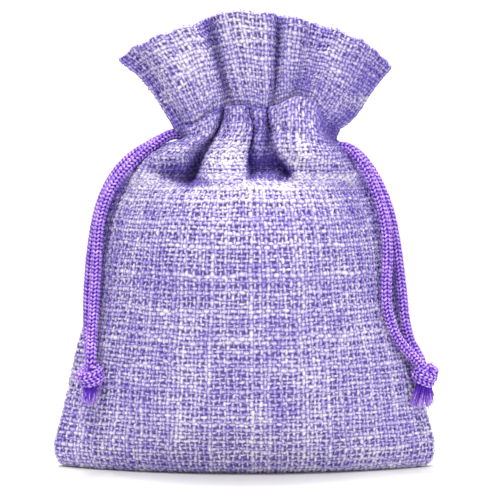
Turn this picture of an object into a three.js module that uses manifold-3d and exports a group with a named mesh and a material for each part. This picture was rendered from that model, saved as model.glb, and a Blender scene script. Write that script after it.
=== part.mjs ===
// Filled linen drawstring pouch: two cloth panels, a gathered casing, a fanned frill,
// a filling, and two drawstrings threaded through the casing from opposite sides.
// Millimetres, +X to the right, the front faces -Y, +Z up.
import * as THREE from "three";
import { mergeVertices } from "three/addons/utils/BufferGeometryUtils.js";
import Module from "manifold-3d";

const wasm = await Module();
wasm.setup();

// Cloth and fits
const cloth = 0.9;
const seamGap = 0.3;
const fit = 0.3;

// Filled body, from the flat underside up to the lower row of stitches
const bottomWidth = 69.6;
const footDepth = 11;
const bellyWidth = 56.5;
const bellyDepth = 33;
const bellyHeight = 30;
const shoulderWidth = 48.4;
const shoulderDepth = 28.6;
const shoulderHeight = 48.9;
const edgeFullness = 0.9;

// Casing, the gathered band that the drawstrings run through
const casingBottom = 56;
const casingTop = 65.4;
const casingWidth = 36;
const casingDepth = 22;
const neckWidth = 27.8;
const neckDepth = 17.6;
const neckHeight = 62.2;
const creaseWidth = 31.6;
const creaseDepth = 14;
const pleatStart = 52.5;
const pleatFull = 60;
const neckLean = 2.4;
const leanStart = 54.5;
const leanFull = 61.5;

// Frill, the free edge of the cloth above the casing
const frillThickness = 1.2;
const frillBaseWidth = 32.4;
const frillBaseDepth = 12.8;
const frillTopWidth = 50.5;
const frillTopDepth = 14.8;
const frillPeakHeight = 83.4;
const frillPeakPlace = -0.12;
const frillFall = 9;
const mouthGap = 4.4;

// Filling
const fillTop = 51.5;
const fillSideRoom = 3;

// Drawstrings
const cordDiameter = 2;
const lowerCordHeight = 58.5;
const pulledRun = 8;
const knotWidth = 4.8;
const knotHeight = 5;
const knotTopRoom = 0.3;
const tailLength = 3.2;
const tailFlare = 2.6;
const threadDiameter = 0.5;

// Mesh steps
const panelColumns = 24;
const panelRows = 14;
const casingColumns = 44;
const casingRows = 5;
const frillColumns = 36;
const frillRows = 6;
const fillColumns = 16;
const fillRows = 8;

// Gathers across the front, from the left edge (-1) to the right edge (1):
// the place of each fold and its height, 0 in a valley and 1 on a ridge.
const neckFolds = [
  [-1, 0], [-0.72, 0.85], [-0.49, 0], [-0.28, 1], [-0.07, 0], [0.055, 0.5], [0.17, 0], [0.55, 1], [1, 0],
];
const frillFolds = [
  [-1, 0], [-0.66, 1], [-0.34, 0], [-0.1, 0.8], [0.165, 0], [0.29, 0.6], [0.42, 0.15], [0.72, 1], [1, 0],
];

// Free strands of the drawstrings, from the casing over the shoulder down to the knot.
const leftFrontRoute = [
  [-16.4, -2.9, 58.7], [-19.6, -3.5, 56.1], [-22.4, -4.1, 53.2], [-24.5, -4.7, 49.7], [-25.8, -5.1, 45.4],
  [-26.3, -5.5, 40.4], [-26.6, -5.9, 34.8], [-26.9, -6.5, 29.6], [-27.1, -7.6, 24.9], [-27.2, -9.0, 21.1],
];
const leftBackRoute = [
  [-17.2, 1.3, 58.8], [-20.9, -0.3, 56.3], [-23.8, -1.5, 52.8], [-25.8, -2.3, 48.4], [-26.9, -2.7, 43.8],
  [-27.6, -2.9, 39.0], [-28.0, -3.3, 34.0], [-28.1, -4.2, 29.2], [-27.9, -5.2, 24.8], [-27.6, -6.6, 21.1],
];
const rightFrontRoute = [
  [20.3, -3.4, 56.5], [22.0, -3.9, 54.0], [23.5, -4.3, 50.7], [24.8, -4.8, 46.6], [25.5, -5.3, 42.0],
  [25.5, -5.9, 37.4], [25.3, -6.3, 33.0], [25.7, -6.2, 28.8], [27.5, -5.6, 24.2], [30.8, -4.6, 20.3],
];
const rightBackRoute = [
  [20.9, 1.4, 56.9], [23.2, 0.0, 53.9], [25.0, -1.2, 50.3], [26.3, -1.9, 46.4], [27.2, -2.2, 42.0],
  [27.9, -2.4, 37.2], [28.5, -2.6, 32.2], [29.0, -2.7, 27.6], [30.0, -2.5, 23.6], [31.7, -2.4, 20.5],
];
const leftKnotPlace = new THREE.Vector3(-27.4, -7.9, 18);
const rightKnotPlace = new THREE.Vector3(32.5, -3.6, 17.5);

// Worked out from the sizes above
const cordRadius = cordDiameter / 2;
const runDepth = seamGap / 2 + cloth + fit + cordRadius;
const valleyDepth = runDepth + cordRadius + fit + cloth;
const upperCordHeight = lowerCordHeight + cordDiameter + fit + 0.1;
const tunnelBottom = lowerCordHeight - cordRadius - fit;
const tunnelTop = upperCordHeight + cordRadius + fit;
const frillValley = mouthGap / 2 + frillThickness;

const levels = [
  [bottomWidth - 6.6, 0, 0],
  [bottomWidth - 5, footDepth, 0],
  [bottomWidth - 1.2, footDepth + 5, 1.1],
  [bottomWidth, footDepth + 9, 4],
  [bottomWidth - 4.8, bellyDepth - 7.4, bellyHeight - 19.5],
  [bellyWidth + 3.3, bellyDepth - 2.4, bellyHeight - 8.4],
  [bellyWidth, bellyDepth, bellyHeight],
  [bellyWidth - 3, bellyDepth - 0.6, bellyHeight + 9.8],
  [shoulderWidth, shoulderDepth, shoulderHeight],
  [casingWidth, casingDepth, casingBottom],
  [neckWidth + 1.8, neckDepth + 1, neckHeight - 2.5],
  [neckWidth, neckDepth, neckHeight],
  [creaseWidth, creaseDepth, casingTop],
];
const seamLevel = 9 / (levels.length - 1);
const wallLevel = 2 / (levels.length - 1);
const profile = new THREE.CatmullRomCurve3(levels.map(([w, d, h]) => new THREE.Vector3(w / 2, d / 2, h)));

const mix = THREE.MathUtils.lerp;
const smoothstep = THREE.MathUtils.smoothstep;

function fold(list, place) {
  let k = 1;
  while (k < list.length - 1 && list[k][0] < place) {
    k += 1;
  }
  const [p0, h0] = list[k - 1];
  const [p1, h1] = list[k];
  const s = (1 - Math.cos(Math.PI * (place - p0) / (p1 - p0))) / 2;
  return mix(h0, h1, s);
}

function lean(height) {
  return neckLean * smoothstep(height, leanStart, leanFull);
}

function section(u, inset) {
  const p = profile.getPoint(u);
  const t = profile.getTangent(u);
  const run = Math.hypot(t.y, t.z);
  const seamRidge = 0.3 * inset * (1 - smoothstep(p.y, 0, footDepth / 4));
  return {
    half: p.x,
    depth: Math.max(0, p.y - inset * t.z / run),
    height: Math.max(0, p.z) + inset * t.y / run + seamRidge,
  };
}

function levelAt(height) {
  let low = wallLevel;
  let high = 1;
  for (let i = 0; i < 40; i += 1) {
    const middle = (low + high) / 2;
    if (profile.getPoint(middle).z < height) {
      low = middle;
    } else {
      high = middle;
    }
  }
  return (low + high) / 2;
}

function edgeX(sign, height) {
  return lean(height) + sign * section(levelAt(height), 0).half;
}

// A point of the cloth: across from 0 to 1, up the profile, front (-1) or back (1).
function clothPoint(across, u, side, inset) {
  const t = 2 * across - 1;
  const s = section(u, inset);
  const full = Math.pow(Math.max(0, 1 - t * t), edgeFullness);
  const gather = smoothstep(s.height, pleatStart, pleatFull);
  const ridge = Math.max(valleyDepth, mix(neckDepth, creaseDepth, smoothstep(s.height, neckHeight, casingTop)) / 2);
  const gathered = mix(valleyDepth, ridge, fold(neckFolds, -side * t));
  const outer = cloth + mix((s.depth - cloth) * full, gathered - cloth, gather);
  const inner = mix(s.depth * full, gathered - cloth, gather);
  const depth = seamGap / 2 + (inset > 0 ? inner : outer);
  return new THREE.Vector3(lean(s.height) + s.half * t, side * depth, s.height);
}

// A closed solid between two sheets that share one grid.
function sheetSolid(columns, rows, outerAt, innerAt, side) {
  const across = columns + 1;
  const sheet = across * (rows + 1);
  const positions = [];
  for (const at of [outerAt, innerAt]) {
    for (let j = 0; j <= rows; j += 1) {
      for (let i = 0; i <= columns; i += 1) {
        positions.push(...at(i / columns, j / rows).toArray());
      }
    }
  }
  const faces = [];
  const quad = (a, b, c, d) => {
    faces.push(side < 0 ? [a, b, c] : [a, c, b]);
    faces.push(side < 0 ? [a, c, d] : [a, d, c]);
  };
  for (let j = 0; j < rows; j += 1) {
    for (let i = 0; i < columns; i += 1) {
      const a = j * across + i;
      quad(a, a + 1, a + across + 1, a + across);
      quad(sheet + a, sheet + a + across, sheet + a + across + 1, sheet + a + 1);
    }
  }
  for (let i = 0; i < columns; i += 1) {
    const top = rows * across + i;
    quad(i, sheet + i, sheet + i + 1, i + 1);
    quad(top, top + 1, sheet + top + 1, sheet + top);
  }
  for (let j = 0; j < rows; j += 1) {
    const left = j * across;
    const right = left + columns;
    quad(left, left + across, sheet + left + across, sheet + left);
    quad(right, sheet + right, sheet + right + across, right + across);
  }
  const geometry = new THREE.BufferGeometry();
  geometry.setAttribute("position", new THREE.Float32BufferAttribute(positions, 3));
  geometry.setIndex(faces.flat());
  return geometry;
}

function toSolid(geometry) {
  const plain = geometry.clone();
  plain.deleteAttribute("normal");
  plain.deleteAttribute("uv");
  const merged = mergeVertices(plain, 1e-4);
  return new wasm.Manifold(new wasm.Mesh({
    numProp: 3,
    vertProperties: new Float32Array(merged.attributes.position.array),
    triVerts: new Uint32Array(merged.index.array),
  }));
}

function toGeometry(solid) {
  const mesh = solid.getMesh();
  const geometry = new THREE.BufferGeometry();
  geometry.setAttribute("position", new THREE.Float32BufferAttribute(mesh.vertProperties, 3));
  geometry.setIndex(Array.from(mesh.triVerts));
  return geometry;
}

function block(x0, x1, y0, y1, z0, z1) {
  const geometry = new THREE.BoxGeometry(x1 - x0, Math.abs(y1 - y0), z1 - z0);
  geometry.translate((x0 + x1) / 2, (y0 + y1) / 2, (z0 + z1) / 2);
  return toSolid(geometry);
}

function tube(points, radius, sides, steps) {
  const shape = new THREE.Shape();
  for (let k = 0; k < sides; k += 1) {
    const angle = 2 * Math.PI * k / sides;
    if (k === 0) {
      shape.moveTo(radius, 0);
    } else {
      shape.lineTo(radius * Math.cos(angle), radius * Math.sin(angle));
    }
  }
  const path = new THREE.CatmullRomCurve3(points);
  return new THREE.ExtrudeGeometry(shape, { steps, extrudePath: path, bevelEnabled: false });
}

const clothMaterial = new THREE.MeshStandardMaterial({ color: "#aba1d8", roughness: 0.95, metalness: 0 });
const casingMaterial = new THREE.MeshStandardMaterial({ color: "#bdb3dc", roughness: 0.95, metalness: 0 });
const frillMaterial = new THREE.MeshStandardMaterial({ color: "#aca0d5", roughness: 0.95, metalness: 0 });
const cordMaterial = new THREE.MeshStandardMaterial({ color: "#8a6ac6", roughness: 0.7, metalness: 0 });
const threadMaterial = new THREE.MeshStandardMaterial({ color: "#8f83c6", roughness: 0.8, metalness: 0 });
const flowerMaterial = new THREE.MeshStandardMaterial({ color: "#6d6394", roughness: 0.95, metalness: 0 });

const sachet = new THREE.Group();
sachet.name = "lavender_sachet";

function add(name, geometry, material) {
  const mesh = new THREE.Mesh(geometry, material);
  mesh.name = name;
  sachet.add(mesh);
}

// Ends of the casing where the strands leave it, and the turns of the two loops
const leftExit = edgeX(-1, upperCordHeight);
const rightExit = edgeX(1, lowerCordHeight);
const turnRoom = fit + cordRadius + runDepth;
const rightTurn = edgeX(1, upperCordHeight) - turnRoom;
const leftTurn = edgeX(-1, lowerCordHeight) + turnRoom;
const beyond = bottomWidth;

for (const [word, side] of [["front", -1], ["back", 1]]) {
  const panel = sheetSolid(
    panelColumns,
    panelRows,
    (a, b) => clothPoint(a, b * seamLevel, side, 0),
    (a, b) => clothPoint(a, b * seamLevel, side, cloth),
    side,
  );
  add(`${word}_panel`, panel, clothMaterial);

  // The gathered band, with the drawstring tunnel through it and its open ends
  const bandBottom = casingBottom + fit;
  const bandAt = (a, b) => clothPoint(a, levelAt(mix(bandBottom, casingTop, b)), side, 0);
  const band = sheetSolid(
    casingColumns,
    casingRows,
    bandAt,
    (a, b) => bandAt(a, b).setY(side * seamGap / 2),
    side,
  );
  const outerWall = side * (runDepth + cordRadius + fit);
  const innerWall = side * (runDepth - cordRadius - fit);
  const tunnel = block(-beyond, beyond, innerWall, outerWall, tunnelBottom, tunnelTop);
  const leftMouth = block(-beyond, leftTurn - fit, 0, outerWall, tunnelBottom, tunnelTop);
  const rightMouth = block(rightTurn + fit, beyond, 0, outerWall, tunnelBottom, tunnelTop);
  const hollow = tunnel.add(leftMouth).add(rightMouth);
  add(`${word}_casing`, toGeometry(toSolid(band).subtract(hollow)), casingMaterial);

  // The fan of cloth above the casing
  const frillAt = (a, b, inset) => {
    const t = 2 * a - 1;
    const tip = frillPeakHeight - frillFall * Math.pow(Math.abs(t - frillPeakPlace), 1.45);
    const ridge = mix(frillBaseDepth, frillTopDepth, b) / 2;
    const depth = mix(frillValley, ridge, fold(frillFolds, -side * t)) - inset;
    const half = mix(frillBaseWidth, frillTopWidth, b) / 2;
    return new THREE.Vector3(neckLean + half * t, side * depth, mix(casingTop + fit, tip, b));
  };
  const frill = sheetSolid(
    frillColumns,
    frillRows,
    (a, b) => frillAt(a, b, 0),
    (a, b) => frillAt(a, b, frillThickness),
    side,
  );
  add(`${word}_frill`, frill, frillMaterial);

  // The row of stitches that closes the casing at its lower edge
  const stitches = [];
  const stitchLevel = levelAt(casingBottom + fit / 2);
  for (let k = 0; k <= 44; k += 1) {
    const point = clothPoint(0.02 + 0.96 * k / 44, stitchLevel, side, 0);
    stitches.push(point.setY(point.y + side * (fit + threadDiameter / 2)));
  }
  add(`${word}_casing_stitch`, tube(stitches, threadDiameter / 2, 5, 44), threadMaterial);
}

// Dried flowers that fill the body
const fillLevel = levelAt(fillTop);
const fillPoint = (a, b, side) => {
  const t = 2 * a - 1;
  const s = section(b * fillLevel, cloth + fit);
  const full = Math.pow(Math.max(0, 1 - t * t), edgeFullness);
  const depth = 0.3 + Math.max(0, s.depth - 0.6) * full;
  return new THREE.Vector3(lean(s.height) + (s.half - fillSideRoom) * t, side * depth, s.height);
};
const filling = sheetSolid(
  fillColumns,
  fillRows,
  (a, b) => fillPoint(a, b, -1),
  (a, b) => fillPoint(a, b, 1),
  -1,
);
add("lavender_filling", filling, flowerMaterial);

// A knot is a core with two turns of cord drawn tight round it.
function knotGeometry(place) {
  const wrap = cordRadius * 0.95;
  const core = new THREE.SphereGeometry(1, 12, 8);
  core.rotateX(Math.PI / 2);
  core.scale(knotWidth / 2 - 0.5, knotWidth / 2 - 0.5, knotHeight / 2);
  let solid = toSolid(core);
  for (const tilt of [-0.5, 0.45]) {
    const turn = new THREE.TorusGeometry(knotWidth / 2 - wrap, wrap, 7, 14);
    turn.rotateY(tilt);
    turn.rotateX(tilt * 0.6);
    turn.translate(0, 0, tilt * 0.8);
    solid = solid.add(toSolid(turn));
  }
  const geometry = toGeometry(solid);
  geometry.translate(place.x, place.y, place.z);
  return geometry;
}

function tailGeometry(place, outward, forward) {
  const geometry = new THREE.CylinderGeometry(tailFlare / 2, cordRadius * 0.8, tailLength, 10, 2);
  geometry.translate(0, tailLength / 2, 0);
  const direction = new THREE.Vector3(outward, forward, -1).normalize();
  geometry.applyQuaternion(new THREE.Quaternion().setFromUnitVectors(new THREE.Vector3(0, 1, 0), direction));
  const start = knotHeight / 2 + knotTopRoom;
  geometry.translate(place.x + direction.x * start, place.y + direction.y * start, place.z + direction.z * start);
  return geometry;
}

const drawstrings = [
  ["left", -1, leftExit, rightTurn, upperCordHeight, leftFrontRoute, leftBackRoute, leftKnotPlace],
  ["right", 1, rightExit, leftTurn, lowerCordHeight, rightFrontRoute, rightBackRoute, rightKnotPlace],
];
for (const [word, hand, exit, turn, height, frontRoute, backRoute, knotPlace] of drawstrings) {
  // The loop round the neck inside the casing, turning back at the far end
  const start = exit - hand * (pulledRun + fit);
  const loop = [new THREE.Vector3(start, -runDepth, height)];
  loop.push(new THREE.Vector3(mix(start, turn, 0.5), -runDepth, height));
  for (let k = 0; k <= 6; k += 1) {
    const angle = Math.PI * k / 6;
    loop.push(new THREE.Vector3(
      turn - hand * runDepth * Math.sin(angle),
      -runDepth * Math.cos(angle),
      height,
    ));
  }
  loop.push(new THREE.Vector3(mix(start, turn, 0.5), runDepth, height));
  loop.push(new THREE.Vector3(start, runDepth, height));
  add(`${word}_loop`, tube(loop, cordRadius, 8, 26), cordMaterial);

  for (const [face, side, route] of [["front", -1, frontRoute], ["back", 1, backRoute]]) {
    const y = side * runDepth;
    const run = [
      new THREE.Vector3(exit - hand * pulledRun, y, height),
      new THREE.Vector3(exit, y, height),
    ];
    add(`${word}_${face}_run`, tube(run, cordRadius, 8, 2), cordMaterial);
    const free = [
      new THREE.Vector3(exit + hand * fit, y, height),
      new THREE.Vector3(exit + hand * (fit + 1.2), y, height - 0.2),
    ];
    free.push(...route.map(([px, py, pz]) => new THREE.Vector3(px, py, pz)));
    add(`${word}_${face}_strand`, tube(free, cordRadius, 8, 20), cordMaterial);
  }
  add(`${word}_knot`, knotGeometry(knotPlace), cordMaterial);
  add(`${word}_front_tail`, tailGeometry(knotPlace, -0.36, -0.3), cordMaterial);
  add(`${word}_back_tail`, tailGeometry(knotPlace, 0.36, 0), cordMaterial);
}

export default sachet;
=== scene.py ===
import math
import bpy
import numpy as np
from mathutils import Matrix, Vector, noise


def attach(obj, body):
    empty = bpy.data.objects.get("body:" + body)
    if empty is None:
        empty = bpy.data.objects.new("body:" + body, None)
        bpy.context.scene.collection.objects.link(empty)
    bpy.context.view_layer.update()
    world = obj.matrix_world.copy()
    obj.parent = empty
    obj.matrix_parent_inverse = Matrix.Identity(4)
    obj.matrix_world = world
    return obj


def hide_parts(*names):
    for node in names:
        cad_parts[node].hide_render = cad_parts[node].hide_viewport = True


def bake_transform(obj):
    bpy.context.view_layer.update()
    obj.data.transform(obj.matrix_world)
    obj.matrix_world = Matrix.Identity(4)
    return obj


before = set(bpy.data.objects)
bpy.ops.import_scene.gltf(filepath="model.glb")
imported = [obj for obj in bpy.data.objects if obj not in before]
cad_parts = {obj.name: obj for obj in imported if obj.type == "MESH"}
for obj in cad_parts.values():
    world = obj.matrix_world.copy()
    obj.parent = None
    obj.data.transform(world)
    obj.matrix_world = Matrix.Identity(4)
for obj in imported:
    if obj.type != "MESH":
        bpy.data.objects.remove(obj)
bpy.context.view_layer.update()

scene = bpy.context.scene


# Studio: a white paper sweep that the pouch stands on, a soft key from above the camera, a weak
# fill from the right, a small top light that draws a narrow shadow under the foot, and a light of
# its own on the paper behind, as for a shop photograph.
def linear(text):
    channels = [int(text[i:i + 2], 16) / 255 for i in (1, 3, 5)]
    curve = [c / 12.92 if c <= 0.04045 else ((c + 0.055) / 1.055) ** 2.4 for c in channels]
    return (*curve, 1.0)


def new_material(name, constants):
    """A material, with what is the same all over it set on the shader's own sockets."""
    material = bpy.data.materials.new(name)
    material.use_nodes = True
    shader = material.node_tree.nodes["Principled BSDF"]
    for socket, value in constants.items():
        shader.inputs[socket].default_value = value
    return material, material.node_tree, shader


def in_scene(name, data):
    made = bpy.data.objects.new(name, data)
    scene.collection.objects.link(made)
    return made


def mesh_object(name, points, faces, material):
    mesh = bpy.data.meshes.new(name)
    mesh.from_pydata([tuple(p) for p in points], [], faces)
    mesh.polygons.foreach_set("use_smooth", [True] * len(mesh.polygons))
    mesh.materials.append(material)
    return in_scene(name, mesh)


def aim_at(thing, place, target):
    thing.location = place
    thing.rotation_euler = (Vector(target) - Vector(place)).to_track_quat("-Z", "Y").to_euler()


# Matt white paper: no shine, so no line shows between floor and wall.
paper, _, _ = new_material("matt white paper", {
    "Base Color": linear("#d2d2d2"), "Roughness": 0.9, "Specular IOR Level": 0.1})
FLOOR_FRONT, FLOOR_END, BEND_RADIUS, WALL, WALL_TOP, HALF_WIDTH = -0.9, 0.35, 0.25, 0.6, 1.2, 1.2
BEND_STEPS = 8
sweep_side = [(FLOOR_FRONT, 0.0), (FLOOR_END, 0.0)]
for step in range(1, BEND_STEPS + 1):
    turn = math.pi / 2 * step / BEND_STEPS
    sweep_side.append((FLOOR_END + BEND_RADIUS * math.sin(turn),
                       BEND_RADIUS - BEND_RADIUS * math.cos(turn)))
sweep_side.append((WALL, WALL_TOP))
sweep_points = [(x, y, z) for y, z in sweep_side for x in (-HALF_WIDTH, HALF_WIDTH)]
sweep_faces = [(2 * k, 2 * k + 1, 2 * k + 3, 2 * k + 2) for k in range(len(sweep_side) - 1)]
sweep = mesh_object("paper_sweep", sweep_points, sweep_faces, paper)

# The room's own light, and each lamp's place, target, size in metres, watts and colour.
world = bpy.data.worlds.new("white room")
scene.world = world
world.use_nodes = True
room = world.node_tree.nodes["Background"].inputs
room["Color"].default_value = linear("#ffffff")
room["Strength"].default_value = 0.20
for name, place, target, size, power, colour in (
    ("key light", (-0.13, -0.36, 0.60), (0.0, 0.0, 0.04), 0.22, 4.0, "#fffdfa"),
    ("fill light", (0.36, -0.50, 0.13), (0.0, 0.0, 0.03), 0.40, 2.0, "#f8f8ff"),
    ("background light", (0.0, 0.12, 0.75), (0.0, 0.58, 0.2), 0.60, 7.0, "#ffffff"),
    ("top light", (0.0, 0.03, 0.42), (0.0, 0.0, 0.0), 0.10, 1.3, "#ffffff"),
):
    lamp = bpy.data.lights.new(name, "AREA")
    lamp.size, lamp.energy, lamp.color = size, power, linear(colour)[:3]
    aim_at(in_scene(name, lamp), place, target)
scene.view_settings.view_transform = "Standard"

# The camera stands straight in front, with a long lens, and looks down by four degrees.
LOOK_AT, AWAY, LOOK_DOWN = Vector((0.0010, 0.0, 0.0407)), 0.303, math.radians(4)
camera = in_scene("camera", bpy.data.cameras.new("camera"))
camera.data.lens, camera.data.sensor_width = 120, 36
stand = LOOK_AT + AWAY * Vector((0, -math.cos(LOOK_DOWN), math.sin(LOOK_DOWN)))
aim_at(camera, stand, LOOK_AT)
scene.camera = camera


# Drawstrings: two soft polyester cords braided from sixteen strands, threaded through the casing
# from opposite sides. Each leaves it as two strands that hang over the shoulder to a knot.
CORD = 0.0020
RUN_DEPTH = 0.00235
PULLED_RUN = 0.008
hands = {"left": -1, "right": 1}
run_y = {"front": -RUN_DEPTH, "back": RUN_DEPTH}
exits = {"left": (-0.01181, 0.0609), "right": (0.01714, 0.0585)}
routes = {
    "left_front": [
        (-0.0164, -0.0029, 0.0587), (-0.0196, -0.0035, 0.0561), (-0.0224, -0.0041, 0.0532),
        (-0.0245, -0.0047, 0.0497), (-0.0258, -0.0051, 0.0454), (-0.0263, -0.0055, 0.0404),
        (-0.0266, -0.0059, 0.0348), (-0.0269, -0.0065, 0.0296), (-0.0271, -0.0076, 0.0249),
        (-0.0272, -0.0090, 0.0211),
    ],
    "left_back": [
        (-0.0172, 0.0013, 0.0588), (-0.0209, -0.0003, 0.0563), (-0.0238, -0.0015, 0.0528),
        (-0.0258, -0.0023, 0.0484), (-0.0269, -0.0027, 0.0438), (-0.0276, -0.0029, 0.0390),
        (-0.0280, -0.0033, 0.0340), (-0.0281, -0.0042, 0.0292), (-0.0279, -0.0052, 0.0248),
        (-0.0276, -0.0066, 0.0211),
    ],
    "right_front": [
        (0.0203, -0.0034, 0.0565), (0.0220, -0.0039, 0.0540), (0.0235, -0.0043, 0.0507),
        (0.0248, -0.0048, 0.0466), (0.0255, -0.0053, 0.0420), (0.0255, -0.0059, 0.0374),
        (0.0253, -0.0063, 0.0330), (0.0257, -0.0062, 0.0288), (0.0275, -0.0056, 0.0242),
        (0.0308, -0.0046, 0.0203),
    ],
    "right_back": [
        (0.0209, 0.0014, 0.0569), (0.0232, 0.0000, 0.0539), (0.0250, -0.0012, 0.0503),
        (0.0263, -0.0019, 0.0464), (0.0272, -0.0022, 0.0420), (0.0279, -0.0024, 0.0372),
        (0.0285, -0.0026, 0.0322), (0.0290, -0.0027, 0.0276), (0.0300, -0.0025, 0.0236),
        (0.0317, -0.0024, 0.0205),
    ],
}
MATH, VECTOR, XYZ = "ShaderNodeMath", "ShaderNodeVectorMath", "ShaderNodeCombineXYZ"
NOISE, RANDOM = "ShaderNodeTexNoise", "FunctionNodeRandomValue"
STORE, STORED = "GeometryNodeStoreNamedAttribute", "GeometryNodeInputNamedAttribute"


def smooth_line(points, steps):
    """Points along a centripetal Catmull-Rom line, evenly spread over its stations."""
    p = [np.array(q, float) for q in points]
    p = [2 * p[0] - p[1]] + p + [2 * p[-1] - p[-2]]
    last = len(points) - 1
    line = []
    for k in range(steps + 1):
        place = last * k / steps
        i = min(int(place), last - 1)
        w = place - i
        a, b, c, d = p[i:i + 4]
        d0, d1, d2 = (max(1e-9, np.linalg.norm(v)) ** 0.5 for v in (b - a, c - b, d - c))
        m1 = d1 * ((b - a) / d0 - (c - a) / (d0 + d1) + (c - b) / d1)
        m2 = d1 * ((c - b) / d1 - (d - b) / (d1 + d2) + (d - c) / d2)
        bend, twist = 3 * (c - b) - 2 * m1 - m2, 2 * (b - c) + m1 + m2
        line.append(b + m1 * w + bend * w ** 2 + twist * w ** 3)
    return np.array(line)


def line_object(name, points):
    curve = bpy.data.curves.new(name, "CURVE")
    curve.dimensions = "3D"
    spline = curve.splines.new("POLY")
    spline.points.add(len(points) - 1)
    spline.points.foreach_set("co", np.c_[points, np.ones(len(points))].ravel())
    return in_scene(name, curve)


def node(tree, kind, links=None, **settings):
    """Add a node with its settings, and give each named socket a value or a link.

    A link comes from another node's socket, or from its first one where the node itself is given.
    """
    made = tree.nodes.new(kind)
    for key, value in settings.items():
        setattr(made, key, value)
    for socket, source in (links or {}).items():
        if isinstance(source, bpy.types.Node):
            source = source.outputs[0]
        if isinstance(source, bpy.types.NodeSocket):
            tree.links.new(source, made.inputs[socket])
        else:
            made.inputs[socket].default_value = source
    return made


def new_tree(name, sizes):
    """A geometry node tree, and the sockets of its inputs: the geometry, then the named sizes."""
    tree = bpy.data.node_groups.new(name, "GeometryNodeTree")
    tree.interface.new_socket("Geometry", in_out="OUTPUT", socket_type="NodeSocketGeometry")
    inputs = {"Geometry": "Geometry", **sizes}
    for label, kind in inputs.items():
        tree.interface.new_socket(label, in_out="INPUT", socket_type=f"NodeSocket{kind}")
    given = node(tree, "NodeGroupInput").outputs
    return tree, [given[label] for label in inputs]


def end_tree(tree, geometry, material):
    whole = node(tree, "GeometryNodeRealizeInstances", {"Geometry": geometry})
    soft = node(tree, "GeometryNodeSetShadeSmooth", {"Geometry": whole})
    done = node(tree, "GeometryNodeSetMaterial", {"Geometry": soft, "Material": material})
    node(tree, "NodeGroupOutput", {"Geometry": done})


def grow(name, base, tree, sizes, keep_base=False):
    """Run a node tree on an object and keep its result as a plain mesh at the origin."""
    modifier = base.modifiers.new("grow", "NODES")
    modifier.node_group = tree
    for item in tree.interface.items_tree:
        if item.in_out == "INPUT" and item.name in sizes:
            modifier[item.identifier] = sizes[item.name]
    depsgraph = bpy.context.evaluated_depsgraph_get()
    mesh = bpy.data.meshes.new_from_object(base.evaluated_get(depsgraph))
    mesh.name = name
    if keep_base:
        base.modifiers.remove(modifier)
    else:
        bpy.data.objects.remove(base)
    return in_scene(name, mesh)


# The strands wind round a core, half of them each way, over two and under two, which draws rows of
# chevrons along the cord. A strand swings in and out by a share of its own thickness.
STRANDS = 16
STEPS_A_TURN = 28.0
SWING, SINK = 0.44, 0.86
braid, (path, cord_radius, pitch, width, thickness, finish) = new_tree("braided cord", {
    "Cord radius": "Float", "Braid pitch": "Float", "Strand width": "Float",
    "Strand thickness": "Float", "Material": "Material",
})
spacing = node(braid, MATH, {0: pitch, 1: STEPS_A_TURN}, operation="DIVIDE")
spaced = node(braid, "GeometryNodeResampleCurve", {"Curve": path, "Length": spacing}, mode="LENGTH")
copies = node(braid, "GeometryNodeDuplicateElements", {
    "Geometry": spaced, "Amount": STRANDS}, domain="SPLINE")
number = copies.outputs["Duplicate Index"]
way = node(braid, MATH, {0: number, 1: STRANDS / 2 - 0.5}, operation="GREATER_THAN")
winding = node(braid, MATH, {0: way, 1: -2.0, 2: 1.0}, operation="MULTIPLY_ADD")
along = node(braid, "GeometryNodeSplineParameter").outputs["Length"]
turns = node(braid, MATH, {0: along, 1: pitch}, operation="DIVIDE")
angle = node(braid, MATH, {0: turns, 1: 2 * math.pi}, operation="MULTIPLY")
start = node(braid, MATH, {0: number, 1: 4 * math.pi / STRANDS}, operation="MULTIPLY")
angle = node(braid, MATH, {0: angle, 1: winding, 2: start}, operation="MULTIPLY_ADD")
wave = node(braid, MATH, {0: angle, 1: STRANDS / 4}, operation="MULTIPLY")
wave = node(braid, MATH, {0: wave}, operation="COSINE")
wave = node(braid, MATH, {0: wave, 1: winding}, operation="MULTIPLY")
swing = node(braid, MATH, {0: thickness, 1: SWING}, operation="MULTIPLY")
inset = node(braid, MATH, {0: thickness, 1: -SINK, 2: cord_radius}, operation="MULTIPLY_ADD")
reach = node(braid, MATH, {0: wave, 1: swing, 2: inset}, operation="MULTIPLY_ADD")
normal = node(braid, "GeometryNodeInputNormal")
tangent = node(braid, "GeometryNodeInputTangent")
side = node(braid, VECTOR, {0: tangent, 1: normal}, operation="CROSS_PRODUCT")
cosine = node(braid, MATH, {0: angle}, operation="COSINE")
sine = node(braid, MATH, {0: angle}, operation="SINE")
part_n = node(braid, VECTOR, {0: normal, "Scale": cosine}, operation="SCALE")
part_s = node(braid, VECTOR, {0: side, "Scale": sine}, operation="SCALE")
radial = node(braid, VECTOR, {0: part_n, 1: part_s}, operation="ADD")
offset = node(braid, VECTOR, {0: radial, "Scale": reach}, operation="SCALE")
tone = node(braid, RANDOM, {"ID": number, "Seed": 5}, data_type="FLOAT").outputs[1]
marked = copies.outputs["Geometry"]
# The strand's swing is kept as painted shade: darker where it dives under, paler where it rises
# over.
for label, value, kind in (
    ("radial", radial, "FLOAT_VECTOR"), ("tone", tone, "FLOAT"), ("painted_shade", wave, "FLOAT"),
):
    marked = node(braid, STORE, {"Geometry": marked, "Name": label, "Value": value},
                  data_type=kind, domain="POINT")
wound = node(braid, "GeometryNodeSetPosition", {"Geometry": marked, "Offset": offset})
outward = node(braid, STORED, {"Name": "radial"}, data_type="FLOAT_VECTOR")
faced = node(braid, "GeometryNodeSetCurveNormal", {"Curve": wound, "Normal": outward}, mode="FREE")
ring = node(braid, "GeometryNodeCurvePrimitiveCircle", {"Resolution": 6, "Radius": 0.5})
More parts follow.
